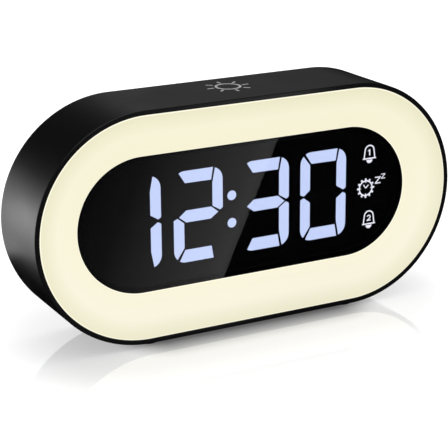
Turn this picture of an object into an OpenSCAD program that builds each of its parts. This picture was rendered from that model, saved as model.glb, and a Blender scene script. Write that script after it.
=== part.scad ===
// Clock radio with a racetrack body, a dished light ring and a smoked display window.
// X runs along the width, Y from the front to the back, Z up. The origin is the middle of the
// footprint, on the surface that the feet stand on. "Depth" is measured back from the front rim.

/* [Body] */
// Overall width
body_w = 155; // [145:1:175]
// Overall height without the feet
body_h = 78; // [78:0.5:80]
// Depth from the front rim to the rear rim
body_d = 30.5; // [30.5:0.5:34]
// Wall thickness of the housing
wall = 2.4; // [2:0.1:2.4]
// Width of the flat front rim
rim = 1.64; // [1.4:0.02:1.8]
// Height of the feet below the housing
foot_h = 1.2; // [0.8:0.1:2]

/* [Light ring] */
// Width of the ring between the rim and the window
ring_w = 14.4; // [13.5:0.1:14.4]
// How far the ring's inner edge lies behind the rim
ring_dish = 4.5; // [4:0.1:4.6]
// Wall thickness of the diffuser
ring_t = 1.6; // [1.2:0.1:1.8]
// LEDs along each straight side
leds_side = 6; // [4:1:6]
// LEDs around each end
leds_end = 7; // [5:2:7]

/* [Display] */
// Thickness of the window
window_t = 1.5; // [1.2:0.1:1.5]
// Distance from one digit to the next
digit_pitch = 22.6; // [21.7:0.1:22.6]
// Extra room between the second and third digits, for the colon
colon_room = 2.6; // [2.4:0.1:2.8]
// Left edge of the first digit, from the middle of the body
digit_left = -49.5; // [-49.6:0.1:-49.3]
// What the four digits show
shown = "1230"; // [1230, 0700, 1008]

/* [Keys] */
// Radius of a rear key
key_r = 4.2; // [3.6:0.1:4.2]
// Travel of a rear key
key_travel = 0.35; // [0.25:0.05:0.35]
// Spacing of the keys
key_pitch = 18; // [17:0.5:18]

/* [Speaker] */
// Outer radius of the speaker
speaker_r = 18; // [17:0.5:18]
// Travel of the cone each way
cone_travel = 0.4; // [0.2:0.05:0.4]

/* [Hidden] */
$fn = 64;

// The racetrack: two round ends of radius end_r, straight_l apart
end_r = body_h / 2;
straight_l = body_w - body_h;
end_x = straight_l / 2;
mid_z = foot_h + end_r;
bed_d = 6;                      // depth of the seat that carries the light ring
cover_d = body_d - 3.5;         // inner face of the rear cover
cover_t = 2;
window_d = ring_dish;
window_r = end_r - rim - ring_w - 0.1;
window_back = window_d + window_t;
shield_r = window_r;            // outside of the black tube that carries the window
shield_t = 1.7;
display_r = shield_r - shield_t - 0.1;
display_front = window_back + 0.2;
display_back = 11.4;
seg_w = 3.8;                    // width of an upright bar
digit_w = 18.1;
digit_top = 15.6;
digit_bottom = -15.6;
bar_end_r = 4.2;                // rounded outer corners of a digit
bar_mid = 0.1;
tray_r = end_r - wall - 0.4;
tray_back = 13;
light_board_t = 1;
light_board_back = tray_back + light_board_t;
led_row_r = 29.8;
flange_front = light_board_back + 0.1;
flange_back = flange_front + 1.3;
board_front = 17.5;
board_t = 1.6;
board_back = board_front + board_t;
key_board_front = 21;
key_board_t = 1.2;
key_board_back = key_board_front + key_board_t;
switch_back = key_board_back + 3.2;
plunger_back = cover_d - 1.1;
key_z = 22;
key_x = [for (i = [0:5]) (i - 2.5) * key_pitch];
key_screw_x = [-2 * key_pitch, 0, 2 * key_pitch];
boss_angle = 64.3;
boss_ring_r = 32.3;
boss_r = 2.8;
boss_x = end_x + boss_ring_r * cos(boss_angle);
boss_z = boss_ring_r * sin(boss_angle);
display_screw_x = 34;
display_screw_z = 24.7;
board_screw_x = 24;
board_screw_z = 23.6;
speaker_x = 26;
speaker_z = -4;
speaker_screw_ring = speaker_r + 2.5;
speaker_screw_angles = [30, 150, 270];
speaker_flange = cover_d - 1.2;
battery_x = -38;
battery_z = -6;
battery_turn = 40;
inlet_x = -8;
inlet_z = -23;
foot_x = 37.5;
foot_r = 4;
foot_inset = 6.2;

// ---- shared shapes ----

// Moves to x and z from the middle of the body and to a depth behind the front rim
module at(x, depth, z) {
    translate([x, depth - body_d / 2, z + mid_z])
        children();
}

module rod(x, z, r, d0, d1) {
    at(x, d0, z)
        rotate([-90, 0, 0])
            cylinder(r = r, h = d1 - d0);
}

module block(x, z, w, h, d0, d1) {
    at(x - w / 2, d0, z - h / 2)
        cube([w, d1 - d0, h]);
}

// Flat outline in x and z, pushed through from depth d0 to d1
module prism(d0, d1) {
    at(0, d1, 0)
        rotate([90, 0, 0])
            linear_extrude(d1 - d0)
                children();
}

module racetrack(r) {
    translate([-end_x, 0])
        circle(r, $fn = 128);
    translate([end_x, 0])
        circle(r, $fn = 128);
    square([straight_l, 2 * r], center = true);
}

module slab(r, d0, d1) {
    prism(d0, d1)
        racetrack(r);
}

module tube(r_out, r_in, d0, d1) {
    difference() {
        slab(r_out, d0, d1);
        slab(r_in, d0 - 1, d1 + 1);
    }
}

// Carries a section round the racetrack: its points are [radius, depth]
module sweep(section) {
    flat = [for (p = section) [p[0], -p[1]]];
    at(0, 0, 0)
        rotate([90, 0, 0])
            for (side = [-1, 1]) {
                translate([side * end_x, 0, 0])
                    rotate_extrude(angle = 180, start = -90 * side, $fn = 128)
                        polygon(flat);
                rotate([0, 0, 90 - 90 * side])
                    translate([-end_x, 0, 0])
                        rotate([90, 0, 90])
                            linear_extrude(straight_l)
                                polygon(flat);
            }
}

// Turns a section of [radius, depth] about a line from front to back
module turned(x, z, section) {
    at(x, 0, z)
        rotate([90, 0, 0])
            rotate_extrude()
                polygon([for (p = section) [p[0], -p[1]]]);
}

// Points of an arc, from angle a0 to a1
function arc(cx, cy, r, a0, a1, steps = 5) =
    [for (i = [0:steps]) let (a = a0 + (a1 - a0) * i / steps) [cx + r * cos(a), cy + r * sin(a)]];

module four_corners(x, z) {
    for (sx = [-1, 1], sz = [-1, 1])
        translate([sx * x, 0, sz * z])
            children();
}

// A pan-head screw that points to the front; its head's bearing face is at depth d
module screw(r, head_r, head_h, length, d, x = 0, z = 0) {
    difference() {
        union() {
            rod(x, z, r, d - length, d);
            rod(x, z, head_r, d, d + head_h);
        }
        block(x, z, head_r * 1.1, 0.5, d + head_h * 0.45, d + head_h + 1);
        block(x, z, 0.5, head_r * 1.1, d + head_h * 0.45, d + head_h + 1);
    }
}

// A pan-head screw that points to the back
module screw_back(r, head_r, head_h, length, d, x = 0, z = 0) {
    difference() {
        union() {
            rod(x, z, r, d, d + length);
            rod(x, z, head_r, d - head_h, d);
        }
        block(x, z, head_r * 1.1, 0.5, d - head_h - 1, d - head_h * 0.45);
        block(x, z, 0.5, head_r * 1.1, d - head_h - 1, d - head_h * 0.45);
    }
}

// A round wire through a few points
module wire(points, r) {
    for (i = [0:len(points) - 2]) {
        step = points[i + 1] - points[i];
        translate(points[i])
            rotate([0, acos(step[2] / norm(step)), atan2(step[1], step[0])])
                cylinder(r = r, h = norm(step), $fn = 16);
    }
    for (i = [1:len(points) - 2])
        translate(points[i])
            sphere(r = r * 1.06, $fn = 16);
}

// ---- housing and light ring ----

module housing() {
    edge = 0.35;
    back_edge = 0.8;
    section = concat(
        arc(end_r - edge, edge, edge, -90, 0),
        arc(end_r - back_edge, body_d - back_edge, back_edge, 0, 90),
        [[end_r - 1.8, body_d], [end_r - 1.8, cover_d], [end_r - wall, cover_d],
         [end_r - wall, bed_d], [end_r - rim, bed_d], [end_r - rim, 0]]);
    color("#151515")
        difference() {
            union() {
                sweep(section);
                four_corners(boss_x, boss_z)
                    rod(0, 0, boss_r, light_board_back, cover_d);
                // Webs that join the screw bosses to the wall
                for (sx = [-1, 1], sz = [-1, 1])
                    at(sx * boss_x, light_board_back, sz * boss_z)
                        rotate([0, -sz * (sx > 0 ? boss_angle : 180 - boss_angle), 0])
                            translate([1, 0, -1])
                                cube([4, cover_d - light_board_back, 2]);
            }
            four_corners(boss_x, boss_z)
                rod(0, 0, 1.05, cover_d - 7, cover_d + 1);
            four_corners(boss_x, boss_z)
                rod(0, 0, 0.85, light_board_back - 1, light_board_back + 4.5);
            for (sx = [-1, 1], depth = [foot_inset, body_d - foot_inset])
                at(sx * foot_x, depth, -end_r - 1)
                    cylinder(r = foot_r + 0.1, h = 1.5);
        }
}

module light_ring() {
    out = end_r - rim - 0.05;
    inner = window_r + 0.05;
    back = bed_d + 0.8;
    color("#f6efdc")
        sweep([[out, 0.02], [out, bed_d], [out - 1.3, bed_d], [out - 1.3, ring_t + 0.4],
               [inner + 1.1, ring_dish + ring_t - 0.3], [inner + 1.1, back], [inner, back],
               [inner, ring_dish]]);
}

module display_window() {
    color("#121214", 0.75)
        slab(window_r, window_d, window_back);
}

// Places something at every LED of the ring; local X runs along the ring and Y to the back
module at_leds() {
    for (side = [-1, 1], i = [0:leds_side - 1])
        at((i - (leds_side - 1) / 2) * straight_l / leds_side, 0, side * led_row_r)
            children();
    for (side = [-1, 1], i = [0:leds_end - 1]) {
        a = (i - (leds_end - 1) / 2) * 180 / leds_end;
        at(side * (end_x + led_row_r * cos(a)), 0, led_row_r * sin(a))
            rotate([0, 90 - side * a, 0])
                children();
    }
}

module led_block(w, h, d0, d1) {
    translate([-w / 2, d0, -h / 2])
        cube([w, d1 - d0, h]);
}

module reflector_tray() {
    inner = shield_r + 0.1;
    color("#f2f2ee")
        difference() {
            union() {
                sweep([[inner, bed_d + 0.9], [inner + 1.3, bed_d + 0.9],
                       [inner + 1.3, tray_back - 1], [tray_r - 1.4, tray_back - 1],
                       [tray_r - 1.4, bed_d + 0.1], [tray_r, bed_d + 0.1],
                       [tray_r, tray_back], [inner, tray_back]]);
                four_corners(display_screw_x, display_screw_z)
                    rod(0, 0, 1.8, bed_d + 2.5, tray_back - 0.5);
            }
            at_leds()
                led_block(4.2, 4.2, tray_back - 2, tray_back + 1);
            four_corners(display_screw_x, display_screw_z)
                rod(0, 0, 0.85, bed_d + 3.2, tray_back + 1);
            four_corners(boss_x, boss_z)
                rod(0, 0, 1.15, tray_back - 2, tray_back + 1);
        }
}

module light_board() {
    color("#e9ece6")
        difference() {
            tube(tray_r, shield_r + 0.1, tray_back, light_board_back);
            four_corners(display_screw_x, display_screw_z)
                rod(0, 0, 1.15, tray_back - 1, light_board_back + 1);
            four_corners(boss_x, boss_z)
                rod(0, 0, 1.15, tray_back - 1, light_board_back + 1);
        }
}

module ring_leds() {
    color("#fff3c8")
        at_leds()
            difference() {
                led_block(3.5, 2.8, tray_back - 0.9, tray_back);
                translate([0, tray_back - 0.5, 0])
                    rotate([90, 0, 0])
                        cylinder(r = 1.1, h = 1);
            }
}

// ---- display ----

// The seven bars of a digit, in the order a to g, from the digit's left edge
function bars() = let (
        hi = digit_top - bar_end_r,
        lo = digit_bottom + bar_end_r,
        right = digit_w - bar_end_r,
        inner = digit_w - seg_w)
    [concat(arc(bar_end_r, hi, bar_end_r, 121, 90), [[14.6, digit_top], [13.85, 11.4], [4.3, 11.5]]),
     concat(arc(right, hi, bar_end_r, 0, 70),
            [[inner, 10.3], [inner, 2.4], [17.1, 0.7], [digit_w, 1.4]]),
     concat(arc(right, lo, bar_end_r, -70, 0),
            [[digit_w, -0.9], [16.9, -0.2], [inner, -2], [inner, -10]]),
     concat(arc(bar_end_r, lo, bar_end_r, 239, 270), [[14.5, digit_bottom], [13.8, -11.3], [4.1, -11.3]]),
     concat(arc(bar_end_r, lo, bar_end_r, 180, 224),
            [[seg_w, -10.6], [seg_w, -2.1], [1.4, -0.2], [0, -0.8]]),
     concat(arc(bar_end_r, hi, bar_end_r, 180, 135), [[seg_w, 11], [seg_w, 2.3], [1.4, 0.4], [0, 1]]),
     [[2, bar_mid], [4.6, 2.2], [13.8, 2.2], [16.4, bar_mid], [13.6, -1.9], [4.6, -1.9]]];

// Which bars each numeral lights, in the order a to g
function lights(numeral) =
    numeral == "0" ? [1, 1, 1, 1, 1, 1, 0] :
    numeral == "1" ? [0, 1, 1, 0, 0, 0, 0] :
    numeral == "2" ? [1, 1, 0, 1, 1, 0, 1] :
    numeral == "3" ? [1, 1, 1, 1, 0, 0, 1] :
    numeral == "7" ? [1, 1, 1, 0, 0, 0, 0] :
    [1, 1, 1, 1, 1, 1, 1];

// Bars of all four digits that are on (state 1), off (state 0) or both (state 2)
module digits(state) {
    outlines = bars();
    for (i = [0:3], k = [0:6])
        if (state == 2 || lights(shown[i])[k] == state)
            translate([digit_left + i * digit_pitch + (i > 1 ? colon_room : 0), 0])
                polygon(outlines[k]);
}

module colon() {
    for (y = [4.9, -4.6])
        translate([digit_left + 2 * digit_pitch - 1.1, y])
            circle(1.65);
}

// Outline of a bell's dome, from the foot of one side over the top to the other
function dome(r, foot_w) =
    concat([[foot_w, -1.7]], arc(0, 1.3, r, 0, 180, 16), [[-foot_w, -1.7]]);

module bell(label) {
    difference() {
        polygon(dome(2.05, 2.45));
        polygon(dome(1.6, 2.02));
    }
    translate([0, -1.5])
        square([5.4, 0.45], center = true);
    // The clapper, a half disc below the mouth
    difference() {
        translate([0, -1.9])
            circle(1.25);
        translate([-2, -1.98])
            square([4, 2]);
    }
    if (label == 1)
        polygon([[-0.15, -0.4], [0.3, -0.4], [0.3, 1.7], [-0.05, 1.7], [-0.65, 1.35], [-0.65, 0.95],
                 [-0.15, 1.15]]);
    if (label == 2)
        polygon(concat(arc(0, 0.95, 0.8, 165, -40, 8),
                       [[-0.1, -0.1], [0.8, -0.1], [0.8, -0.47], [-0.8, -0.47], [-0.8, -0.15]],
                       arc(0, 0.95, 0.42, -40, 165, 8)));
}

module letter_z(w, h, stroke) {
    polygon([[0, 0], [w, 0], [w, stroke], [stroke * 1.6, stroke], [w, h - stroke], [w, h], [0, h],
             [0, h - stroke], [w - stroke * 1.6, h - stroke], [0, stroke]]);
}

module snooze_mark() {
    teeth = 12;
    difference() {
        union() {
            circle(2.85);
            for (i = [0:teeth - 1])
                rotate(i * 360 / teeth)
                    translate([2.7, -0.32])
                        square([0.8, 0.64]);
        }
        circle(2.38);
    }
    // Marks at every third hour, and the two hands
    for (a = [0:90:270])
        rotate(a)
            translate([1.9, -0.15])
                square([0.6, 0.3]);
    for (a = [45, 125])
        rotate(a)
            translate([0, -0.18])
                square([1.6, 0.36]);
    translate([3.8, 1])
        letter_z(2.3, 2.5, 0.38);
    translate([6.3, 2.5])
        letter_z(1.7, 1.8, 0.28);
}

module icons() {
    translate([48.5, 11.8])
        bell(1);
    translate([47.2, -0.2])
        snooze_mark();
    translate([48.7, -11.8])
        bell(2);
}

module display_frame() {
    color("#111111")
        difference() {
            union() {
                tube(shield_r, shield_r - shield_t, window_back, flange_back);
                tube(27, shield_r - shield_t, flange_front, flange_back);
                four_corners(board_screw_x, board_screw_z)
                    rod(0, 0, 2.2, flange_front, board_front);
            }
            four_corners(display_screw_x, display_screw_z)
                rod(0, 0, 1.15, flange_front - 1, flange_back + 1);
            four_corners(board_screw_x, board_screw_z)
                rod(0, 0, 0.85, flange_front + 0.6, board_front + 1);
        }
}

module display_body() {
    color("#0c0c0d")
        difference() {
            slab(display_r, display_front + 0.02, display_back);
            prism(display_front - 1, display_back + 1)
                digits(2);
            prism(display_front - 1, display_back + 1)
                colon();
            prism(display_front - 1, display_front + 1.2)
                icons();
        }
}

module lit_segments() {
    color("#c8d4ff")
        prism(display_front, display_back) {
            digits(1);
            colon();
        }
}

module unlit_segments() {
    color("#2a2a2e")
        prism(display_front + 0.05, display_back)
            digits(0);
}

module status_icons() {
    color("#eef0ff")
        prism(display_front, display_front + 1.2)
            icons();
}

module display_board() {
    color("#1d5a34")
        difference() {
            slab(display_r, display_back, display_back + 1.2);
            for (x = [-45, 45])
                rod(x, 0, 1.1, display_back - 1, display_back + 3);
        }
}

// Flat cable from the display board to the main board, with a slack bend
module ribbon_cable() {
    start = display_back + 1.2;
    run = board_front - start;
    t = 0.5;
    color("#8f949a")
        at(-12, 0, 8)
            rotate([0, 90, 0])
                rotate([0, 0, 90])
                    linear_extrude(24)
                        polygon([[start, 0], [start + run * 0.3, 0.2], [start + run * 0.7, 2.6],
                                 [start + run, 3], [start + run, 3 + t], [start + run * 0.62, 2.6 + t],
                                 [start + run * 0.22, 0.2 + t], [start, t]]);
}

// ---- boards ----

module main_board() {
    color("#1f6b3a")
        difference() {
            block(0, 0, 92, 53, board_front, board_back);
            four_corners(board_screw_x, board_screw_z)
                rod(0, 0, 1.15, board_front - 1, board_back + 1);
        }
}

module controller_chip() {
    legs = 11;
    color("#1b1b1d")
        union() {
            block(-6, 6, 9, 9, board_back + 0.1, board_back + 1.5);
            for (i = [0:legs - 1]) {
                p = (i - (legs - 1) / 2) * 0.75;
                block(-6 + p, 6, 0.32, 11.4, board_back, board_back + 0.3);
                block(-6, 6 + p, 11.4, 0.32, board_back, board_back + 0.3);
            }
        }
}

module tuner_chip() {
    color("#1b1b1d")
        union() {
            block(-7, -8, 4, 6.2, board_back + 0.1, board_back + 1.2);
            for (i = [0:7])
                block(-7, -8 + (i - 3.5) * 0.7, 6, 0.3, board_back, board_back + 0.3);
        }
}

module amplifier_chip() {
    color("#1b1b1d")
        union() {
            block(10, -20.5, 5, 4, board_back + 0.1, board_back + 1.5);
            for (i = [0:3])
                block(10 + (i - 1.5) * 1.27, -20.5, 0.4, 6, board_back, board_back + 0.35);
        }
}

module clock_crystal() {
    color("#b9bcc0")
        at(-20, board_back + 1.55, 11)
            rotate([0, 90, 0])
                cylinder(r = 1.55, h = 6);
}

module power_capacitors() {
    color("#23262b")
        for (x = [-1, 4.5])
            turned(x, -17, [[0, board_back], [2.4, board_back], [2.4, board_back + 0.8],
                            [2.2, board_back + 1], [2.4, board_back + 1.2], [2.4, board_back + 4.6],
                            [2.1, board_back + 4.9], [0, board_back + 4.9]]);
}

module board_connectors() {
    color("#efeadb")
        for (p = [[43, -20], [43, 8]])
            difference() {
                block(p[0], p[1], 4.5, 6.5, board_back, board_back + 4.5);
                block(p[0], p[1], 3.1, 5.1, board_back + 1, board_back + 6);
            }
}

module key_board() {
    color("#1f6b3a")
        difference() {
            block(0, key_z, 98, 9, key_board_front, key_board_back);
            for (x = key_screw_x)
                rod(x, key_z, 1.15, key_board_front - 1, key_board_back + 1);
        }
}

module switch_bodies() {
    color("#202022")
        for (x = key_x)
            difference() {
                block(x, key_z, 6, 6, key_board_back, switch_back);
                rod(x, key_z, 1.78, switch_back - 1.25 - key_travel, switch_back + 1);
            }
}

module plunger(i) {
    color("#3a3a3c")
        rod(key_x[i], key_z, 1.7, switch_back - 1, plunger_back);
}

// A round key with a retaining flange and a dished end
module key_cap(i) {
    top = cover_d + cover_t + 0.8;
    color("#2e2e30")
        difference() {
            turned(key_x[i], key_z, [[0, plunger_back], [key_r + 1, plunger_back],
                [key_r + 1, cover_d - 0.1], [key_r, cover_d - 0.1], [key_r, top - 0.4],
                [key_r - 0.12, top - 0.12], [key_r - 0.4, top], [2.6, top - 0.02], [0, top - 0.22]]);
            key_mark(i, top);
        }
}

// Generic marks cut 0.45 mm into the key: clock hands, one bar, two bars, sound bars, minus and plus
module key_mark(i, top) {
    deep = top - 0.45;
    x = key_x[i];
    if (i == 0) {
        block(x, key_z + 0.7, 0.4, 1.8, deep, top + 1);
        block(x + 0.6, key_z, 1.6, 0.4, deep, top + 1);
    }
    if (i == 1)
        block(x, key_z, 0.4, 3, deep, top + 1);
    if (i == 2)
        for (s = [-0.6, 0.6])
            block(x + s, key_z, 0.4, 3, deep, top + 1);
    if (i == 3)
        for (s = [-1, 0, 1])
            block(x + s, key_z, 0.4, 3 - abs(s) * 1.4, deep, top + 1);
    if (i == 4 || i == 5)
        block(x, key_z, 3, 0.4, deep, top + 1);
    if (i == 5)
        block(x, key_z, 0.4, 3, deep, top + 1);
}

// ---- rear cover ----

module rear_cover() {
    hole_pitch = 3.5;
    rings = 3;
    notch = 16;
    color("#181818")
        difference() {
            union() {
                slab(end_r - 1.9, cover_d, cover_d + cover_t);
                for (x = key_screw_x)
                    rod(x, key_z, 2.2, key_board_back, cover_d + 0.5);
                for (a = speaker_screw_angles)
                    rod(speaker_x + speaker_screw_ring * cos(a), speaker_z + speaker_screw_ring * sin(a),
                        2.2, speaker_flange, cover_d + 0.5);
            }
            four_corners(boss_x, boss_z)
                rod(0, 0, 1.35, cover_d - 1, body_d);
            four_corners(boss_x, boss_z)
                rod(0, 0, 2.7, cover_d + 0.9, body_d);
            for (x = key_x)
                rod(x, key_z, key_r + 0.25, cover_d - 1, body_d);
            for (x = key_screw_x)
                rod(x, key_z, 0.85, key_board_back - 1, cover_d - 0.6);
            for (a = speaker_screw_angles)
                rod(speaker_x + speaker_screw_ring * cos(a), speaker_z + speaker_screw_ring * sin(a),
                    0.85, speaker_flange - 1, cover_d + 1);
            // Sound holes on a triangular grid
            for (i = [-rings:rings], j = [-rings:rings])
                if (abs(i + j) <= rings)
                    rod(speaker_x + (i + j / 2) * hole_pitch, speaker_z + j * hole_pitch * sin(60),
                        0.9, cover_d - 1, body_d);
            // Battery opening, with two notches for the lugs
            rod(battery_x, battery_z, 12.5, cover_d - 1, body_d);
            at(battery_x, body_d, battery_z)
                rotate([90, 0, 0])
                    linear_extrude(body_d - cover_d + 1)
                        for (s = [0, 180])
                            rotate(s - battery_turn)
                                polygon(concat([[0, 0]], arc(0, 0, 13.8, -notch, notch, 8)));
            // Opening for the supply receptacle
            prism(cover_d - 1, body_d)
                translate([inlet_x, inlet_z]) {
                    square([5.9, 3.9], center = true);
                    for (s = [-1, 1])
                        translate([s * 2.95, 0])
                            circle(1.95);
                }
        }
}

module battery_cover() {
    lug = 13;
    color("#1c1c1c")
        difference() {
            union() {
                rod(battery_x, battery_z, 12.42, cover_d - 1, cover_d + cover_t);
                at(battery_x, cover_d - 0.2, battery_z)
                    rotate([90, 0, 0])
                        linear_extrude(0.8)
                            for (s = [0, 180])
                                rotate(s)
                                    polygon(concat([[0, 0]], arc(0, 0, 13.6, -lug, lug, 8)));
            }
            block(battery_x, battery_z, 14, 2, cover_d + cover_t - 0.9, body_d);
        }
}

module battery_holder() {
    color("#232325")
        difference() {
            rod(battery_x, battery_z, 12, board_back, cover_d - 1.4);
            rod(battery_x, battery_z, 10.4, board_back + 2.6, cover_d);
            for (a = [45, 225])
                at(battery_x, board_back + 2.6, battery_z)
                    rotate([0, a, 0])
                        translate([0, 0, -2])
                            cube([14, 8, 4]);
        }
}

module coin_cell() {
    d0 = board_back + 3.1;
    color("#c9cacc")
        turned(battery_x, battery_z, [[0, d0], [8.4, d0], [8.8, d0 + 0.25], [9.7, d0 + 0.3],
            [10, d0 + 0.6], [10, d0 + 3], [9.8, d0 + 3.2], [0, d0 + 3.2]]);
}

// Bent leaf under the cell
module battery_contact() {
    d0 = board_back + 2.6;
    color("#d6b15a")
        union() {
            block(battery_x, battery_z, 12, 3, d0, d0 + 0.2);
            block(battery_x, battery_z, 3, 3, d0, d0 + 0.5);
        }
}

// Supply receptacle: a rounded steel shell around a tongue
module power_inlet() {
    d1 = cover_d + cover_t - 0.4;
    color("#b4b6b8")
        difference() {
            prism(board_back, d1)
                translate([inlet_x, inlet_z])
                    inlet_outline(1.6);
            prism(board_back + 2, d1 + 1)
                translate([inlet_x, inlet_z])
                    difference() {
                        inlet_outline(1.3);
                        square([6.4, 0.7], center = true);
                    }
        }
}

module inlet_outline(r) {
    square([5.74, 2 * r], center = true);
    for (s = [-1, 1])
        translate([s * 2.87, 0])
            circle(r);
}

// ---- speaker, facing the back ----

module speaker_frame() {
    d = speaker_flange;
    color("#2b2b2d")
        difference() {
            turned(speaker_x, speaker_z, [[5.3, d - 3.4], [11.2, d - 3.4], [15.6, d - 0.4], [15.6, d],
                [speaker_r, d], [speaker_r, d + 1.1], [15.2, d + 1.1], [15.2, d - 0.1],
                [10.8, d - 2.8], [5.3, d - 2.8]]);
            for (a = [0:60:300])
                at(speaker_x, d - 2.4, speaker_z)
                    rotate([0, a + 30, 0])
                        translate([11.6, 0, -2])
                            cube([3, 1.6, 4]);
        }
}

module speaker_magnet() {
    d = speaker_flange - 3.4;
    color("#3b3c40")
        turned(speaker_x, speaker_z, [[5.6, d - 1.9], [10.4, d - 1.9], [10.4, d], [5.6, d]]);
}

module speaker_yoke() {
    d = speaker_flange - 3.4;
    color("#a7a9ac")
        turned(speaker_x, speaker_z, [[0, d - 2.6], [10.4, d - 2.6], [10.4, d - 1.9], [4, d - 1.9],
            [4, d + 0.6], [0, d + 0.6]]);
}

module voice_coil() {
    d = speaker_flange - 3.4;
    color("#b5703a")
        turned(speaker_x, speaker_z, [[4.35, d - 0.7], [4.9, d - 0.7], [4.9, d + 2], [4.35, d + 2]]);
}

module speaker_cone() {
    d = speaker_flange - 1 - cone_travel;
    color("#26211d")
        turned(speaker_x, speaker_z, [[0, d + 0.9], [2.5, d + 0.7], [4.9, d], [12.9, d + 1.1],
            [12.9, d + 1.45], [5, d + 0.4], [2.5, d + 1.1], [0, d + 1.3]]);
}

module speaker_surround() {
    d = speaker_flange;
    color("#161616")
        turned(speaker_x, speaker_z, concat([[12.95, d + 0.05]],
            arc(14.05, d + 0.1, 1.1, 180, 0, 8), [[15.1, d + 0.4]],
            arc(14.05, d + 0.1, 0.8, 0, 180, 8), [[12.95, d - 0.25]]));
}

module speaker_wires() {
    d = board_back - body_d / 2;
    color("#a02a2a")
        for (s = [0, 1])
            wire([[43, d + 1.2, mid_z - 21 + 2 * s], [43, d + 5.4, mid_z - 21 + 2 * s],
                  [39.6 - s, d + 5.4, mid_z - 16 + 2 * s], [36.4 - s, d + 4.1, mid_z - 11.6 + 1.6 * s]],
                 0.45);
}

// ---- touch area ----

module touch_electrode() {
    color("#c77b4a")
        at(0, body_d / 2 + 1.7, end_r - wall - 0.15)
            cube([20, 12, 0.2], center = true);
}

// Conductive coil spring from the main board's edge to the electrode
module touch_spring() {
    turns = 5;
    steps = 14;
    sides = 8;
    coil_r = 1.5;
    wire_r = 0.22;
    z0 = 26.5 + wire_r;
    z1 = end_r - wall - 0.25 - wire_r;
    rings = turns * steps;
    points = [for (i = [0:rings], k = [0:sides - 1])
        let (a = 360 * i / steps, b = 360 * k / sides, r = coil_r + wire_r * cos(b))
            [r * cos(a), r * sin(a), z0 + (z1 - z0) * i / rings + wire_r * sin(b)]];
    walls = [for (i = [0:rings - 1], k = [0:sides - 1])
        let (n = (k + 1) % sides)
            [i * sides + k, (i + 1) * sides + k, (i + 1) * sides + n, i * sides + n]];
    ends = [[for (k = [0:sides - 1]) k], [for (k = [sides - 1:-1:0]) rings * sides + k]];
    color("#c9b37a")
        at(0, (board_front + board_back) / 2, 0)
            polyhedron(points, concat(walls, ends), convexity = 6);
}

// ---- feet and fasteners ----

module foot(side, depth) {
    color("#0d0d0d")
        at(side * foot_x, depth, -end_r)
            rotate_extrude()
                polygon([[0, -foot_h], [foot_r - 0.4, -foot_h], [foot_r - 0.1, -foot_h + 0.15],
                         [foot_r, -foot_h + 0.5], [foot_r, 0.45], [0, 0.45]]);
}

module cover_screws() {
    color("#3c3d40")
        four_corners(boss_x, boss_z)
            screw(1.05, 2.4, 0.9, 7, cover_d + 0.9);
}

module tray_screws() {
    color("#8d8f92")
        four_corners(boss_x, boss_z)
            screw_back(0.85, 2, 1, 5, tray_back - 1);
}

module display_screws() {
    color("#8d8f92")
        four_corners(display_screw_x, display_screw_z)
            screw(0.85, 1.9, 1, 5.8, flange_back);
}

module board_screws() {
    color("#8d8f92")
        four_corners(board_screw_x, board_screw_z)
            screw(0.85, 1.9, 1, 4, board_back);
}

module key_board_screws() {
    color("#8d8f92")
        for (x = key_screw_x)
            screw_back(0.85, 1.9, 1, 5, key_board_front, x, key_z);
}

module speaker_screws() {
    color("#8d8f92")
        for (a = speaker_screw_angles)
            screw_back(0.85, 2.9, 1, 2.1, speaker_flange, speaker_x + speaker_screw_ring * cos(a),
                       speaker_z + speaker_screw_ring * sin(a));
}

housing();
light_ring();
display_window();
reflector_tray();
light_board();
ring_leds();
display_frame();
display_body();
lit_segments();
unlit_segments();
status_icons();
display_board();
ribbon_cable();
main_board();
controller_chip();
tuner_chip();
amplifier_chip();
clock_crystal();
power_capacitors();
board_connectors();
key_board();
switch_bodies();
key_cap(0);  // key_time
key_cap(1);  // key_alarm_1
key_cap(2);  // key_alarm_2
key_cap(3);  // key_sound
key_cap(4);  // key_minus
key_cap(5);  // key_plus
plunger(0);  // plunger_time
plunger(1);  // plunger_alarm_1
plunger(2);  // plunger_alarm_2
plunger(3);  // plunger_sound
plunger(4);  // plunger_minus
plunger(5);  // plunger_plus
rear_cover();
speaker_frame();
speaker_magnet();
speaker_yoke();
speaker_cone();
speaker_surround();
voice_coil();
speaker_wires();
power_inlet();
battery_cover();
battery_holder();
coin_cell();
battery_contact();
touch_electrode();
touch_spring();
foot(-1, foot_inset);  // foot_front_left
foot(1, foot_inset);  // foot_front_right
foot(-1, body_d - foot_inset);  // foot_rear_left
foot(1, body_d - foot_inset);  // foot_rear_right
cover_screws();
tray_screws();
display_screws();
board_screws();
key_board_screws();
speaker_screws();
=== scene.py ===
from math import cos, pi, radians, sin

import bmesh
import bpy
from mathutils import Matrix, Vector


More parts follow.
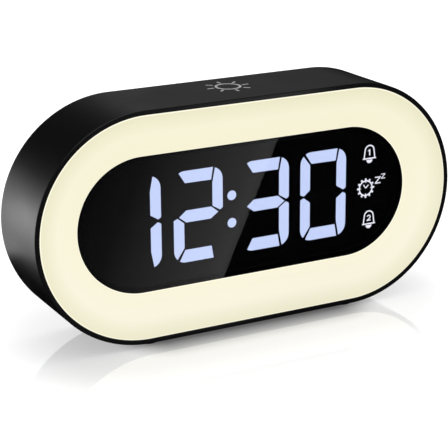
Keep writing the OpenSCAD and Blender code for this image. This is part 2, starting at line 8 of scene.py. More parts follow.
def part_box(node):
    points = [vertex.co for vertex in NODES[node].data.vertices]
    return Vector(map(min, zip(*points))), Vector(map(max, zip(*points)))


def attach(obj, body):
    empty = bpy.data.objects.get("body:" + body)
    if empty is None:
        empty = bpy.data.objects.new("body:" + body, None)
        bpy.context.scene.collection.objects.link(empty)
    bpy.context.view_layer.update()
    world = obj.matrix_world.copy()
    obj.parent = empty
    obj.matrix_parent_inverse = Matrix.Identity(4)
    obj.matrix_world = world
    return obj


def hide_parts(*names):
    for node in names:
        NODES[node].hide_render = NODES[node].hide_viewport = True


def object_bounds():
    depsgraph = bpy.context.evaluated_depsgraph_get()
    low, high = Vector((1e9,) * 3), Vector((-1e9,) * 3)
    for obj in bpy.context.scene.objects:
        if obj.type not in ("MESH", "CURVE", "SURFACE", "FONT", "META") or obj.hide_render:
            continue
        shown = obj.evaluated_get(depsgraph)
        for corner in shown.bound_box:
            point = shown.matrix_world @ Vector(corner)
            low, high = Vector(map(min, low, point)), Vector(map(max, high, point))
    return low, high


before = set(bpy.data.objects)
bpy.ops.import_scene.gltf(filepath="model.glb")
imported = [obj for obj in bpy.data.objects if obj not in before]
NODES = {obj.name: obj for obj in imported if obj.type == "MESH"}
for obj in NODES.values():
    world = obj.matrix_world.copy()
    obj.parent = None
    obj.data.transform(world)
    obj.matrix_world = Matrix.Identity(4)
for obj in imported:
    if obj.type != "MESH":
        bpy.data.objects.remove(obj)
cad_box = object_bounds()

# Clock radio: a satin black racetrack housing with a glowing dished ring round a smoked window.
# Places come from the CAD nodes' boxes. Lengths are in metres, and MM turns millimetres into them.
MM = 0.001

housing_lo, housing_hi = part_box("housing")
ring_lo, ring_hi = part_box("light_ring")
window_lo, window_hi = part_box("display_window")

END_R = (housing_hi.z - housing_lo.z) / 2            # radius of the round ends
END_X = (housing_hi.x - housing_lo.x) / 2 - END_R    # where the ends are centred
MID_Z = (housing_hi.z + housing_lo.z) / 2
FRONT = housing_lo.y
BACK = housing_hi.y
RING_R = (ring_hi.z - ring_lo.z) / 2
WINDOW_R = (window_hi.z - window_lo.z) / 2
FLOOR_Z = cad_box[0].z


# ---- camera and studio ----

def make_camera():
    """A long lens from the left of the front, a little above, which rolls slightly."""
    azimuth, elevation, roll = radians(-27.83), radians(17.57), radians(-0.47)
    aim = Vector((-9.7, -11.5, 36.5)) * MM
    distance = 512.5 * MM
    back = Vector((sin(azimuth) * cos(elevation), -cos(azimuth) * cos(elevation), sin(elevation)))
    right = Vector((cos(azimuth), sin(azimuth), 0))
    up = back.cross(right)
    turned_right = right * cos(roll) + up * sin(roll)
    turned_up = up * cos(roll) - right * sin(roll)
    data = bpy.data.cameras.new("camera")
    data.lens = 125.0
    data.sensor_width = 36.0
    camera = bpy.data.objects.new("camera", data)
    turn = Matrix((turned_right, turned_up, back)).transposed()
    camera.matrix_world = Matrix.Translation(aim + back * distance) @ turn.to_4x4()
    bpy.context.collection.objects.link(camera)
    bpy.context.scene.camera = camera


def make_softbox(name, place, target, size, power):
    """A white area lamp that faces its target."""
    data = bpy.data.lights.new(name, "AREA")
    data.shape = "RECTANGLE"
    data.size, data.size_y = size
    data.energy = power
    lamp = bpy.data.objects.new(name, data)
    lamp.location = place
    lamp.rotation_euler = (Vector(target) - Vector(place)).to_track_quat("-Z", "Y").to_euler()
    lamp.visible_camera = False
    bpy.context.collection.objects.link(lamp)


# ---- nodes and materials ----

def linear(hex_colour):
    """An sRGB hex colour as a linear RGBA."""
    parts = [int(hex_colour[i:i + 2], 16) / 255 for i in (1, 3, 5)]
    return tuple(p / 12.92 if p <= 0.04045 else ((p + 0.055) / 1.055) ** 2.4 for p in parts) + (1,)


def add_node(tree, kind, settings=None, **links):
    """Adds a node, sets its properties, and fills its inputs with values or other nodes' outputs."""
    made = tree.nodes.new("ShaderNode" + kind)
    for key, value in (settings or {}).items():
        setattr(made, key, value)
    for key, value in links.items():
        name = key.replace("_", " ")
        socket = made.inputs[int(key[1:])] if key[0] == "i" and key[1:].isdigit() else made.inputs[name]
        if isinstance(value, bpy.types.NodeSocket):
            tree.links.new(value, socket)
        else:
            socket.default_value = value
    return made


def new_material(name, **values):
    """A material with one Principled shader; values are its sockets, with _ for a space."""
    material = bpy.data.materials.new(name)
    material.use_nodes = True
    tree = material.node_tree
    shader = tree.nodes["Principled BSDF"]
    for key, value in values.items():
        shader.inputs[key.replace("_", " ")].default_value = value
    return material, tree, shader


def fill_ramp(ramp, stops):
    """Sets a colour ramp to (place, colour) stops, places from 0 to 1."""
    while len(ramp.elements) < len(stops):
        ramp.elements.new(0.5)
    for element, (place, colour) in zip(ramp.elements, stops):
        element.position = place
        element.color = colour


def add_grain(tree, shader, grain_mm, depth_mm, low, high):
    """Fine moulded or ground texture: a bump of that depth, and a roughness between low and high that
    drifts over wider patches."""
    where = add_node(tree, "TexCoord").outputs["Object"]
    noise = add_node(tree, "TexNoise", Vector=where, Scale=1 / (grain_mm * MM), Detail=3.0)
    bump = add_node(tree, "Bump", Strength=1.0, Distance=depth_mm * MM, Height=noise.outputs[0])
    patch_size = 18 * MM
    patchy = add_node(tree, "TexNoise", Vector=where, Scale=1 / patch_size, Detail=2.0)
    rough = add_node(tree, "MapRange", Value=patchy.outputs[0], From_Min=0.3, From_Max=0.7,
                     To_Min=low, To_Max=high)
    tree.links.new(bump.outputs[0], shader.inputs["Normal"])
    tree.links.new(rough.outputs[0], shader.inputs["Roughness"])


def mottle(tree, shader, socket, first, second, size_mm, detail=2.0):
    """Lets a colour drift between two close tones over patches of that size."""
    where = add_node(tree, "TexCoord").outputs["Object"]
    noise = add_node(tree, "TexNoise", Vector=where, Scale=1 / (size_mm * MM), Detail=detail)
    tones = add_node(tree, "Mix", {"data_type": "RGBA"}, Factor=noise.outputs[0], i6=linear(first),
                     i7=linear(second))
    tree.links.new(tones.outputs[2], shader.inputs[socket])


def housing_abs():
    # ABS moulded in a spark-eroded tool: deep black, with a satin skin that spreads reflections.
    material, tree, shader = new_material("satin_black_abs", IOR=1.5, Specular_IOR_Level=0.42)
    mottle(tree, shader, "Base Color", "#08080a", "#0c0c0d", 25)
    add_grain(tree, shader, 0.5, 0.004, 0.30, 0.36)
    return material


def ring_opal():
    # Opal polycarbonate, matt, lit from behind: warm white. Its base colour is painted deeper towards the
    # outer edge, a painted glow falloff, and towards the top, a painted shade.
    material, tree, shader = new_material(
        "opal_polycarbonate_glow", IOR=1.58, Specular_IOR_Level=0.25, Roughness=0.45,
        Emission_Color=linear("#fcf7e2"), Emission_Strength=0.655)
    where = add_node(tree, "SeparateXYZ", Vector=add_node(tree, "TexCoord").outputs["Object"])
    width = add_node(tree, "Math", {"operation": "ABSOLUTE"}, i0=where.outputs[0])
    past = add_node(tree, "Math", {"operation": "SUBTRACT"}, i0=width.outputs[0], i1=END_X)
    across = add_node(tree, "Math", {"operation": "MAXIMUM"}, i0=past.outputs[0], i1=0.0)
    rise = add_node(tree, "Math", {"operation": "SUBTRACT"}, i0=where.outputs[2], i1=MID_Z)
    offset = add_node(tree, "CombineXYZ", X=across.outputs[0], Y=rise.outputs[0])
    radius = add_node(tree, "VectorMath", {"operation": "LENGTH"}, i0=offset.outputs[0])
    place = add_node(tree, "MapRange", Value=radius.outputs["Value"], From_Min=WINDOW_R, From_Max=RING_R)
    # Painted glow falloff: the base colour darkens and yellows from the window out to the outer edge.
    tones = add_node(tree, "ValToRGB", i0=place.outputs[0])
    fill_ramp(tones.color_ramp, [(0, linear("#8b8974")), (0.54, linear("#8c8a7d")), (1, linear("#747350"))])
    # Painted shade: the base colour turns a little darker and yellower towards the top.
    height = add_node(tree, "MapRange", Value=rise.outputs[0], From_Min=-RING_R, From_Max=RING_R)
    painted_top_shade = add_node(tree, "Mix", {"data_type": "RGBA"}, Factor=height.outputs[0],
                    i6=linear("#ffffff"), i7=linear("#f6f5d8"))
    both = add_node(tree, "Mix", {"data_type": "RGBA", "blend_type": "MULTIPLY"}, Factor=1.0,
                    i6=tones.outputs[0], i7=painted_top_shade.outputs[2])
    tree.links.new(both.outputs[2], shader.inputs["Base Color"])
    return material


def ring_edge():
    # The diffuser's polished corner, where the light gathers.
    material, tree, shader = new_material(
        "opal_polycarbonate_corner", IOR=1.58, Roughness=0.3, Specular_IOR_Level=0.25,
        Emission_Color=linear("#fffbe6"), Emission_Strength=0.78)
    mottle(tree, shader, "Base Color", "#8f8d7c", "#959381", 10)
    return material


def smoked_acrylic():
    # Cast acrylic, dyed almost black and polished: a mirror-like skin over a dark see-through body.
    material, tree, shader = new_material(
        "smoked_acrylic", IOR=1.49, Roughness=0.005, Alpha=0.5)
    mottle(tree, shader, "Base Color", "#030304", "#050506", 40)
    return material


def lit_epoxy(name, first, second, glow, strength):
    # Milky epoxy cast in the LED module's pockets, evenly lit from the die below.
    material, tree, shader = new_material(
        name, IOR=1.5, Roughness=0.5, Emission_Color=linear(glow), Emission_Strength=strength)
    mottle(tree, shader, "Base Color", first, second, 4)
    return material


def plain_plastic(name, first, second, low, high, grain_mm=0.4, depth_mm=0.003, specular=0.5):
    # Injection-moulded plastic with a light texture and a slightly uneven sheen.
    material, tree, shader = new_material(name, IOR=1.5, Specular_IOR_Level=specular)
    mottle(tree, shader, "Base Color", first, second, 12)
    add_grain(tree, shader, grain_mm, depth_mm, low, high)
    return material


def plain_metal(name, first, second, low, high):
    # Bare or plated metal: its rolled or pressed skin scatters a reflection finely. The real skin is too
    # fine to show, so it is drawn with a grain of 0.15 mm.
    material, tree, shader = new_material(name, Metallic=1.0)
    mottle(tree, shader, "Base Color", first, second, 3)
    add_grain(tree, shader, 0.15, 0.0015, low, high)
    return material


def solder_mask(name, first, second, track):
    # Circuit board lacquer, glossy and dyed: copper tracks show as lighter bands, 6 mm apart, under it.
    material, tree, shader = new_material(name, IOR=1.5, Roughness=0.28)
    where = add_node(tree, "TexCoord").outputs["Object"]
    cells = add_node(tree, "TexBrick", {"offset": 0.5, "squash": 1.0}, Vector=where, Scale=1 / (6 * MM),
                     Color1=linear(first), Color2=linear(second), Mortar=linear(track),
                     Mortar_Size=0.06)
    tree.links.new(cells.outputs[0], shader.inputs["Base Color"])
    return material


def felted_paper():
    # Pressed paper pulp, dyed dark, with matted fibres about 0.3 mm across.
    material, tree, shader = new_material("felted_paper", IOR=1.45, Specular_IOR_Level=0.2)
    mottle(tree, shader, "Base Color", "#1d1916", "#2c2621", 0.6, 5.0)
    add_grain(tree, shader, 0.3, 0.02, 0.75, 0.9)
    return material


def black_print():
    # Dense screen-printed border that hides what lies round the display.
    material, tree, shader = new_material("black_screen_print", IOR=1.48, Specular_IOR_Level=0.2)
    mottle(tree, shader, "Base Color", "#020202", "#040404", 2)
    add_grain(tree, shader, 0.2, 0.001, 0.5, 0.6)
    return material


def printed_ink():
    # Pad-printed grey ink, matt, a few hundredths of a millimetre thick.
    material, tree, shader = new_material("grey_pad_print", IOR=1.48, Specular_IOR_Level=0.3)
    mottle(tree, shader, "Base Color", "#8b8b8c", "#969697", 1.5)
    add_grain(tree, shader, 0.2, 0.001, 0.5, 0.6)
    return material


# ---- mesh helpers ----

END_STEPS = 96       # facets round each half-circle end
CLOSE = 0.01 * MM    # points nearer than this count as being at the same place


def move_verts(bm, made, step):
    """Moves the new vertices among made by step, and returns them."""
    moved = [v for v in made if isinstance(v, bmesh.types.BMVert)]
    bmesh.ops.translate(bm, verts=moved, vec=step)
    return moved


def piece_from(bm, name, *materials, sharp=35, weighted=False):
    """Turns a bmesh into an object at the origin, smooth except at edges sharper than that angle.

    weighted keeps broad faces flat where they meet a rounded corner."""
    bmesh.ops.recalc_face_normals(bm, faces=bm.faces)
    mesh = bpy.data.meshes.new(name)
    bm.to_mesh(mesh)
    bm.free()
    for material in materials:
        mesh.materials.append(material)
    mesh.shade_smooth()
    mesh.set_sharp_from_angle(angle=radians(sharp))
    made = bpy.data.objects.new(name, mesh)
    bpy.context.collection.objects.link(made)
    if weighted:
        normals = made.modifiers.new("broad_faces_flat", "WEIGHTED_NORMAL")
        normals.keep_sharp = True
    return made


def sweep_racetrack(section, roundings, rounding_material=0):
    """Carries a closed section of (radius, depth) round the racetrack.

    roundings lists (point number, radius in metres): those corners of the section are rounded."""
    bm = bmesh.new()
    ring = [bm.verts.new((END_X, FRONT + depth, MID_Z - radius)) for radius, depth in section]
    seam = [bm.edges.new(pair) for pair in zip(ring, ring[1:] + ring[:1])]
    start = ring + seam
    for centre, step in ((END_X, -2 * END_X), (-END_X, 2 * END_X)):
        turned = bmesh.ops.spin(bm, geom=start, cent=(centre, 0, MID_Z), axis=(0, 1, 0), dvec=(0, 0, 0),
                                angle=-pi, steps=END_STEPS, use_merge=False, use_duplicate=False)
        last = [e for e in turned["geom_last"] if isinstance(e, bmesh.types.BMEdge)]
        pushed = bmesh.ops.extrude_edge_only(bm, edges=last)["geom"]
        moved = move_verts(bm, pushed, (step, 0, 0))
        start = moved + [e for e in pushed if isinstance(e, bmesh.types.BMEdge)
                         and all(v in moved for v in e.verts)]
    bmesh.ops.remove_doubles(bm, verts=bm.verts, dist=0.001 * MM)
    for number, rounding in roundings:
        round_sweep_edge(bm, section[number], rounding, rounding_material)
    return bm


def off_centre(point):
    """Distance of a point from the racetrack's middle line, seen from the front."""
    return Vector((max(abs(point.x) - END_X, 0), point.z - MID_Z)).length


def round_sweep_edge(bm, corner, rounding, material):
    """Rounds the edge that one corner of the section leaves all round the racetrack."""
    radius, depth = corner
    edges = [e for e in bm.edges
             if all(abs(v.co.y - FRONT - depth) < CLOSE and abs(off_centre(v.co) - radius) < CLOSE
                    for v in e.verts)]
    bmesh.ops.bevel(bm, geom=edges, offset=rounding, segments=4, profile=0.5, affect="EDGES",
                    material=material, clamp_overlap=True)


def racetrack_plate(radius, front, back, rounding):
    """A flat plate with the racetrack's outline and a rounded front edge."""
    bm = bmesh.new()
    corner = bm.verts.new((END_X, back, MID_Z - radius))
    start = [corner]
    for centre, step in ((END_X, -2 * END_X), (-END_X, 2 * END_X)):
        turned = bmesh.ops.spin(bm, geom=start, cent=(centre, 0, MID_Z), axis=(0, 1, 0), dvec=(0, 0, 0),
                                angle=-pi, steps=END_STEPS, use_merge=False, use_duplicate=False)
        last = [v for v in turned["geom_last"] if isinstance(v, bmesh.types.BMVert)]
        pushed = bmesh.ops.extrude_vert_indiv(bm, verts=last)
        bmesh.ops.translate(bm, verts=pushed["verts"], vec=(step, 0, 0))
        start = pushed["verts"]
    bmesh.ops.remove_doubles(bm, verts=bm.verts, dist=0.001 * MM)
    face = bmesh.ops.contextual_create(bm, geom=bm.edges)["faces"]
    pushed = bmesh.ops.extrude_face_region(bm, geom=face)["geom"]
    move_verts(bm, pushed, (0, front - back, 0))
    edges = [e for e in bm.edges if all(abs(v.co.y - front) < CLOSE for v in e.verts)]
    bmesh.ops.bevel(bm, geom=edges, offset=rounding, segments=3, profile=0.5, affect="EDGES",
                    material=-1, clamp_overlap=True)
    return bm


def along_y(x, z, y):
    """Places a shape made about Z so that it lies about Y, with its middle at x, y and z."""
    return Matrix.Translation((x, y, z)) @ Matrix.Rotation(-pi / 2, 4, "X")


# ---- housing, ring and window ----

def make_housing(material):
    """The open tube: a thin rim round the ring, a step that the ring beds on, and a seat for the cover."""
    wall, rear_wall = 2.4 * MM, 1.8 * MM
    rim = END_R - RING_R - 0.05 * MM
    bed = 6 * MM
    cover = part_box("rear_cover")[1].y - FRONT - 2 * MM
    depth = BACK - FRONT
    section = [(END_R, 0), (END_R, depth), (END_R - rear_wall, depth), (END_R - rear_wall, cover),
               (END_R - wall, cover), (END_R - wall, bed), (END_R - rim, bed), (END_R - rim, 0)]
    bm = sweep_racetrack(section, [(0, 0.35 * MM), (1, 0.8 * MM), (2, 0.3 * MM), (7, 0.15 * MM)])
    add_screw_bosses(bm, cover)
    shell = piece_from(bm, "housing_shell", material, weighted=True)
    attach(shell, "root")
    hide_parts("housing")


def add_screw_bosses(bm, cover):
    """Four bosses inside the wall, which the boards and the rear cover are screwed to."""
    boss_angle, boss_ring, boss_r = radians(64.3), 32.3 * MM, 2.8 * MM
    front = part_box("light_board")[1].y
    length = FRONT + cover - front
    for side in (-1, 1):
        for level in (-1, 1):
            x = side * (END_X + boss_ring * cos(boss_angle))
            z = MID_Z + level * boss_ring * sin(boss_angle)
            bmesh.ops.create_cone(bm, cap_ends=True, segments=32, radius1=boss_r, radius2=boss_r,
                                  depth=length, matrix=along_y(x, z, front + length / 2))


def make_light_ring(material, corner_material):
    """A dished skin from the rim down to the window, with a short wall at each side."""
    dish = window_lo.y - FRONT
    inner = WINDOW_R + 0.05 * MM
    outer = RING_R
    back = ring_hi.y - FRONT
    bed, skin, inner_wall = 6 * MM, 1.3 * MM, 1.1 * MM
    section = [(outer, 0.02 * MM), (outer, bed), (outer - skin, bed), (outer - skin, 2 * MM),
               (inner + inner_wall, dish + skin), (inner + inner_wall, back), (inner, back), (inner, dish)]
    bm = sweep_racetrack(section, [(0, 0.35 * MM), (7, 0.25 * MM)], rounding_material=1)
    ring = piece_from(bm, "opal_ring", material, corner_material, sharp=50, weighted=True)
    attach(ring, "root")
    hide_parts("light_ring")


def make_window(material, border_material):
    """The pane, with a black border printed round its back and its edge blackened."""
    bm = racetrack_plate(WINDOW_R, window_lo.y, window_hi.y, 0.12 * MM)
    back = max((f for f in bm.faces if all(v.co.y > window_hi.y - CLOSE for v in f.verts)),
               key=lambda f: f.calc_area())
    border_width, clear_front = 1.2 * MM, 0.2 * MM
    border = bmesh.ops.inset_region(bm, faces=[back], thickness=border_width)["faces"]
    edge = [f for f in bm.faces if f.calc_center_median().y > window_lo.y + clear_front and f != back]
    for face in border + edge:
        face.material_index = 1
    pane = piece_from(bm, "smoked_pane", material, border_material, weighted=True)
    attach(pane, "root")
    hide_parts("display_window")


# ---- printed sun over the touch area ----

def make_touch_print(material):
    """A generic sun: a thin ring with eight short rays, printed on the top."""
    top = housing_hi.z
    thick = 0.04 * MM
    x, y = -0.8 * MM, FRONT + 17 * MM
    bm = bmesh.new()
    ring_out, ring_in = 4.5 * MM, 3.6 * MM
    rim = [bm.verts.new((x + radius, y, top + level)) for radius, level in
           ((ring_out, 0), (ring_out, thick), (ring_in, thick), (ring_in, 0))]
    edges = [bm.edges.new(pair) for pair in zip(rim, rim[1:] + rim[:1])]
    bmesh.ops.spin(bm, geom=rim + edges, cent=(x, y, top), axis=(0, 0, 1), dvec=(0, 0, 0), angle=2 * pi,
                   steps=64, use_merge=True, use_duplicate=False)
    ray_from, ray_to, ray_width = 5.3 * MM, 7.7 * MM, 0.75 * MM
    for number in range(8):
        turn = Matrix.Translation((x, y, top + thick / 2)) @ Matrix.Rotation(number * pi / 4, 4, "Z")
        shift = Matrix.Translation(((ray_from + ray_to) / 2, 0, 0))
        size = Matrix.Diagonal((ray_to - ray_from, ray_width, thick, 1))
        bmesh.ops.create_cube(bm, size=1, matrix=turn @ shift @ size)
    mark = piece_from(bm, "touch_sun_print", material)
    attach(mark, "root")


# ---- feet ----

def make_foot(node, material):
    """A moulded rubber disc with a rounded sole."""
    low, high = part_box(node)
    middle = (low + high) / 2
    radius = (high.x - low.x) / 2
    bm = bmesh.new()
    bmesh.ops.create_cone(bm, cap_ends=True, segments=48, radius1=radius, radius2=radius,
                          depth=high.z - low.z, matrix=Matrix.Translation(middle))
    sole = [e for e in bm.edges if all(abs(v.co.z - low.z) < CLOSE for v in e.verts)]
    bmesh.ops.bevel(bm, geom=sole, offset=0.4 * MM, segments=4, profile=0.5, affect="EDGES", material=-1)
    foot = piece_from(bm, node + "_pad", material)
    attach(foot, "root")
    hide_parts(node)


# ---- carried-over CAD nodes ----

def dress(node, material):
    """Gives a CAD node its finish, joins its loose triangles and keeps its edges crisp."""
    made = NODES[node]
    made.data.materials.clear()
    made.data.materials.append(material)
    made.data.shade_smooth()
    weld = made.modifiers.new("weld", "WELD")
    weld.merge_threshold = 0.001 * MM
    split = made.modifiers.new("crisp_edges", "EDGE_SPLIT")
    split.split_angle = radians(35)


def dress_all():
    """Makes each finish once and gives it to the nodes that have it."""
    white_abs = plain_plastic("white_reflector_abs", "#e6e6e2", "#dededa", 0.4, 0.5)
    shield = plain_plastic("black_shield_abs", "#0b0b0c", "#101011", 0.5, 0.6)
    module_black = plain_plastic("led_module_black", "#030303", "#050505", 0.7, 0.8, specular=0.2)
    cover = plain_plastic("satin_cover_abs", "#0c0c0d", "#111112", 0.36, 0.44, 0.5, 0.006, 0.42)
    keys = plain_plastic("key_abs", "#151516", "#1a1a1b", 0.3, 0.36, 0.5, 0.003)
    chip = plain_plastic("chip_epoxy", "#131314", "#191919", 0.55, 0.65)
    sleeve = plain_plastic("capacitor_sleeve", "#15181d", "#191d23", 0.2, 0.26)
    nylon = plain_plastic("connector_nylon", "#d9d2b6", "#d0c8aa", 0.45, 0.55)
    cable = plain_plastic("flat_cable_pvc", "#8b8f94", "#969a9f", 0.4, 0.5)
    lead = plain_plastic("red_lead_pvc", "#8e1f1f", "#a02626", 0.35, 0.42)
    rubber = plain_plastic("black_rubber", "#0b0b0b", "#101010", 0.65, 0.8, 0.35, 0.01, 0.3)
    ferrite = plain_plastic("ferrite", "#26272a", "#2e2f33", 0.5, 0.6)
    phosphor = plain_plastic("led_phosphor", "#e9cf63", "#f0dc86", 0.3, 0.4)
    off_bar = plain_plastic("dark_epoxy_bar", "#0d0d0f", "#101012", 0.6, 0.7, specular=0.2)
    steel = plain_metal("zinc_plated_steel", "#b4b6b9", "#c2c4c6", 0.25, 0.35)
    nickel = plain_metal("nickel_plated_steel", "#c9c9c8", "#d3d3d2", 0.16, 0.24)
    black_steel = plain_metal("black_oxide_steel", "#1c1c1e", "#252528", 0.35, 0.45)
    bronze = plain_metal("gold_flashed_bronze", "#c9a552", "#d6b46a", 0.22, 0.3)
    copper = plain_metal("enamelled_copper", "#a5592b", "#b4683a", 0.25, 0.35)
    green = solder_mask("green_solder_mask", "#12502a", "#14542c", "#1d6b3b")
    white_mask = solder_mask("white_solder_mask", "#dfe2dc", "#dbdfd8", "#cdd1c9")
    lit = lit_epoxy("segment_epoxy_lit", "#989eb6", "#9ca2ba", "#c6d4fb", 3.8)
    icon = lit_epoxy("icon_epoxy_lit", "#a6a8ba", "#aaacbe", "#eeeffc", 4.0)
    finishes = {
        "reflector_tray": white_abs, "light_board": white_mask, "ring_leds": phosphor,
        "display_frame": shield, "display_body": module_black, "lit_segments": lit,
        "unlit_segments": off_bar, "status_icons": icon, "display_board": green,
        "ribbon_cable": cable, "main_board": green, "controller_chip": chip, "tuner_chip": chip,
        "amplifier_chip": chip, "clock_crystal": nickel, "power_capacitors": sleeve,
        "board_connectors": nylon, "key_board": green, "switch_bodies": chip,
        "rear_cover": cover, "speaker_frame": black_steel, "speaker_magnet": ferrite,
        "speaker_yoke": steel, "speaker_cone": felted_paper(), "speaker_surround": rubber,
        "voice_coil": copper, "speaker_wires": lead, "power_inlet": steel,
        "battery_cover": cover, "battery_holder": shield, "coin_cell": nickel,
        "battery_contact": bronze, "touch_electrode": copper, "touch_spring": bronze,
        "cover_screws": black_steel, "tray_screws": steel, "display_screws": steel,
        "board_screws": steel, "key_board_screws": steel, "speaker_screws": steel}
    for key in ("time", "alarm_1", "alarm_2", "sound", "minus", "plus"):
        finishes["key_" + key] = keys
        finishes["plunger_" + key] = keys
    for node, finish in finishes.items():
        dress(node, finish)
    for corner in ("front_left", "front_right", "rear_left", "rear_right"):
        make_foot("foot_" + corner, rubber)


# ---- floor, cards and lamps ----

def make_floor():
    """A large pale table top, faintly lit from below, and polished round the clock so that it mirrors.

    A soft contact shadow is painted into its colour and glow close round the strip the clock stands on."""
    half_size = 6
    strip_half_length, contact_half_length, strip_half_depth = 45 * MM, 31 * MM, 10 * MM
    bm = bmesh.new()
    bmesh.ops.create_grid(bm, x_segments=1, y_segments=1, size=half_size,
                          matrix=Matrix.Translation((0, 0, FLOOR_Z)))
    material, tree, shader = new_material(
        "lit_table_top", IOR=1.7, Roughness=0.05, Emission_Color=(1, 1, 1, 1))
    where = add_node(tree, "TexCoord").outputs["Object"]
    folded = add_node(tree, "VectorMath", {"operation": "ABSOLUTE"}, i0=where)
    past = add_node(tree, "VectorMath", {"operation": "SUBTRACT"}, i0=folded.outputs[0],
                    i1=(strip_half_length, strip_half_depth, 0))
    outside = add_node(tree, "VectorMath", {"operation": "MAXIMUM"}, i0=past.outputs[0], i1=(0, 0, 0))
    away = add_node(tree, "VectorMath", {"operation": "LENGTH"}, i0=outside.outputs[0])
    polish = add_node(tree, "MapRange", {"interpolation_type": "SMOOTHSTEP"}, Value=away.outputs["Value"],
                      From_Min=18 * MM, From_Max=62 * MM, To_Min=0.5, To_Max=0.0)
    tree.links.new(polish.outputs[0], shader.inputs["Specular IOR Level"])
    # Painted shade: the base colour darkens towards the clock as far as the polish reaches, offsetting the
    # light its mirror adds.
    tones = add_node(tree, "ValToRGB", i0=polish.outputs[0])
    fill_ramp(tones.color_ramp, [(0, linear("#d4d4d4")), (0.5, linear("#a0a0a0"))])
    # Painted contact shadow: darkens the base colour and dims the glow close round the strip the clock
    # stands on.
    off_strip = add_node(tree, "VectorMath", {"operation": "SUBTRACT"}, i0=folded.outputs[0],
                         i1=(contact_half_length, strip_half_depth, 0))
    beside = add_node(tree, "VectorMath", {"operation": "MAXIMUM"}, i0=off_strip.outputs[0], i1=(0, 0, 0))
    near = add_node(tree, "VectorMath", {"operation": "LENGTH"}, i0=beside.outputs[0])
    painted_contact_shadow = add_node(tree, "MapRange", {"interpolation_type": "SMOOTHSTEP"},
                       Value=near.outputs["Value"], From_Min=2 * MM, From_Max=19 * MM, To_Min=0.25,
                       To_Max=1.0)
    shaded = add_node(tree, "Mix", {"data_type": "RGBA", "blend_type": "MULTIPLY"}, Factor=1.0,
                      i6=tones.outputs[0], i7=painted_contact_shadow.outputs[0])
    full_glow = 0.45
    # The glow, too, carries the painted contact shadow.
    glow = add_node(tree, "Math", {"operation": "MULTIPLY"}, i0=painted_contact_shadow.outputs[0], i1=full_glow)
    tree.links.new(shaded.outputs[2], shader.inputs["Base Color"])
    tree.links.new(glow.outputs[0], shader.inputs["Emission Strength"])
    floor = piece_from(bm, "table_top", material)
    floor.visible_glossy = False


def make_card(name, low, high, y, shade, turn=0):
    """An upright glowing card that only mirrors see. shade(tree) returns its strength.

    low and high are its (x, z) corners in millimetres. It is made facing the front, at the depth y,
    and then turned about the upright axis."""
    bm = bmesh.new()
    middle = Vector(((low[0] + high[0]) / 2, y, (low[1] + high[1]) / 2)) * MM
    size = Matrix.Diagonal(((high[0] - low[0]) * MM, (high[1] - low[1]) * MM, 1, 1))
    facing = Matrix.Translation(middle) @ Matrix.Rotation(pi / 2, 4, "X")
    bmesh.ops.create_grid(bm, x_segments=1, y_segments=1, size=0.5,
                          matrix=Matrix.Rotation(turn, 4, "Z") @ facing @ size)
    material = bpy.data.materials.new(name)
    material.use_nodes = True
    tree = material.node_tree
    tree.nodes.clear()
    glow = add_node(tree, "Emission", Color=(1, 1, 1, 1), Strength=shade(tree))
    out = add_node(tree, "OutputMaterial")
    tree.links.new(glow.outputs[0], out.inputs["Surface"])
    card = piece_from(bm, name, material)
    card.visible_camera = False
    card.visible_diffuse = False
    card.visible_shadow = False
    card.visible_transmission = False


def slanting_sweep(tree):
    """Grey that grows from the left and stops at a slanting edge, which the glossy window mirrors."""
    edge_foot, lean = Vector((14.4, 0, 0)) * MM, radians(24.7)
    width, height = 75 * MM, 50 * MM
    where = add_node(tree, "TexCoord").outputs["Object"]
    turned = add_node(tree, "Mapping", {"vector_type": "TEXTURE"}, Vector=where, Location=edge_foot,
                      Rotation=(0, lean, 0))
    across = add_node(tree, "SeparateXYZ", Vector=turned.outputs[0])
    place = add_node(tree, "MapRange", Value=across.outputs[0], From_Min=-width, From_Max=0.0)
    sweep = add_node(tree, "ValToRGB", i0=place.outputs[0])
    greys = [(0, 0.01), (0.35, 0.12), (0.9, 0.72), (1, 1.0)]
    fill_ramp(sweep.color_ramp, [(stop, (grey, grey, grey, 1)) for stop, grey in greys])
    left = add_node(tree, "Math", {"operation": "LESS_THAN"}, i0=across.outputs[0], i1=0.0)
    cut = add_node(tree, "Math", {"operation": "MULTIPLY"}, i0=sweep.outputs[0], i1=left.outputs[0])
    fade = add_node(tree, "MapRange", Value=across.outputs[2], From_Min=0.0, From_Max=height,
                    To_Min=1.55, To_Max=1.35)
    glow = add_node(tree, "Math", {"operation": "MULTIPLY"}, i0=cut.outputs[0], i1=fade.outputs[0])
    return glow.outputs[0]


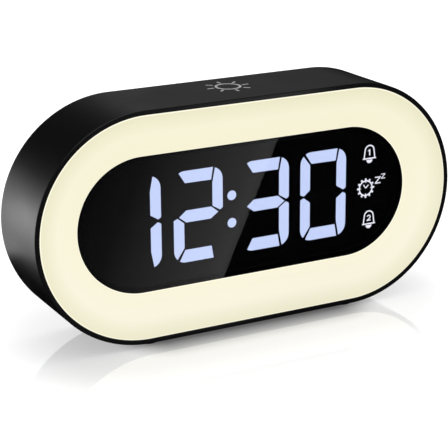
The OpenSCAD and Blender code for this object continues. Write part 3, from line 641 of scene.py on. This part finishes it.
def turning_glow(tree):
    """Strength by the angle round a front-to-back axis just left of the middle, from +X through the top:
    a weak glow that the flat top mirrors and a strong one that the left end mirrors, black between."""
    axis_left = 40 * MM
    where = add_node(tree, "SeparateXYZ", Vector=add_node(tree, "TexCoord").outputs["Object"])
    x = add_node(tree, "Math", {"operation": "ADD"}, i0=where.outputs[0], i1=axis_left)
    z = add_node(tree, "Math", {"operation": "SUBTRACT"}, i0=where.outputs[2], i1=MID_Z)
    angle = add_node(tree, "Math", {"operation": "ARCTAN2"}, i0=z.outputs[0], i1=x.outputs[0])
    whole = add_node(tree, "Math", {"operation": "WRAP"}, i0=angle.outputs[0], i1=2 * pi, i2=0.0)
    place = add_node(tree, "MapRange", Value=whole.outputs[0], From_Min=0.0, From_Max=2 * pi)
    degrees = [(0, 0.0), (14, 0.02), (28, 0.17), (48, 0.22), (62, 0.1), (78, 0.02), (134, 0.01),
               (156, 0.05), (174, 0.75), (190, 2.9), (200, 2.9), (214, 1.1), (230, 0.03), (242, 0.0)]
    glow = add_node(tree, "ValToRGB", i0=place.outputs[0])
    fill_ramp(glow.color_ramp, [(turn / 360, (grey, grey, grey, 1)) for turn, grey in degrees])
    return glow.outputs[0]


def even_glow(tree):
    """The same full strength all over a card."""
    return 1.0


def make_studio():
    """A white surround that mirrors don't see, two softboxes, and the cards that they do see."""
    world = bpy.data.worlds.new("studio")
    bpy.context.scene.world = world
    world.use_nodes = True
    background = world.node_tree.nodes["Background"]
    background.inputs["Color"].default_value = (1, 1, 1, 1)
    background.inputs["Strength"].default_value = 1.1
    world.cycles_visibility.glossy = False
    make_softbox("overhead_softbox", (0, -0.1, 1.3), (0, 0, 0), (1.6, 1.6), 8)
    make_softbox("front_softbox", (-0.5, -1.2, 0.9), (0, 0, 0.03), (0.9, 0.7), 2)
    before_window, behind_back = window_lo.y / MM - 45, BACK / MM + 60
    make_card("sweep_card", (-70, -5), (125, 75), before_window, slanting_sweep)
    make_card("far_card", (-1400, -1300), (1400, 1400), 600, turning_glow)
    make_card("low_card", (-105, 0.3), (320, 60), behind_back, even_glow)
    make_card("right_card", (-200, 0.3), (70, 140), 330, even_glow, -pi / 2)
    make_card("left_card", (-70, 0.3), (200, 140), 330, even_glow, pi / 2)
    bpy.context.scene.view_settings.view_transform = "Standard"
    bpy.context.scene.view_settings.look = "None"


make_camera()
make_studio()
make_floor()
make_housing(housing_abs())
make_light_ring(ring_opal(), ring_edge())
make_window(smoked_acrylic(), black_print())
make_touch_print(printed_ink())
dress_all()
